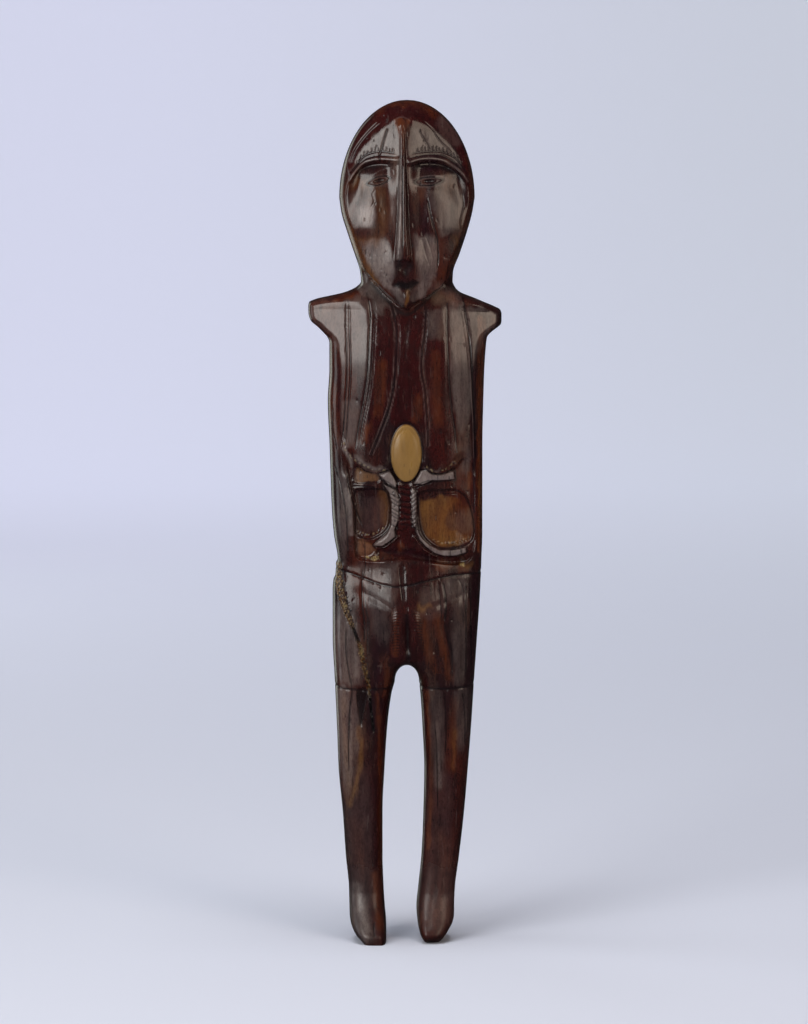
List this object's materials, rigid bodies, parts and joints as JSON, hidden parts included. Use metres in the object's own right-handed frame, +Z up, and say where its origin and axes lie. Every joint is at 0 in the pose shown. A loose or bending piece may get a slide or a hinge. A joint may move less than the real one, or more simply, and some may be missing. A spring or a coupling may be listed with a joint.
{
  "type": "walrus ivory figure",
  "caption": "Standing human figure carved from dark walrus ivory, with short stub arms, a long pointed face and a small being in relief on its belly.",
  "frame": {"origin": "middle of the bounding box's underside, on the surface the figure stands on", "axes": "+Z up along the body, the figure faces -Y, +X towards the viewer's right"},
  "size_m": [0.0595, 0.0336, 0.26],
  "materials": {
    "ivory": "walrus ivory, dark red-brown patina, soft polish"
  },
  "bodies": {
    "root": {"figure": "ivory"}
  },
  "joints": []
}
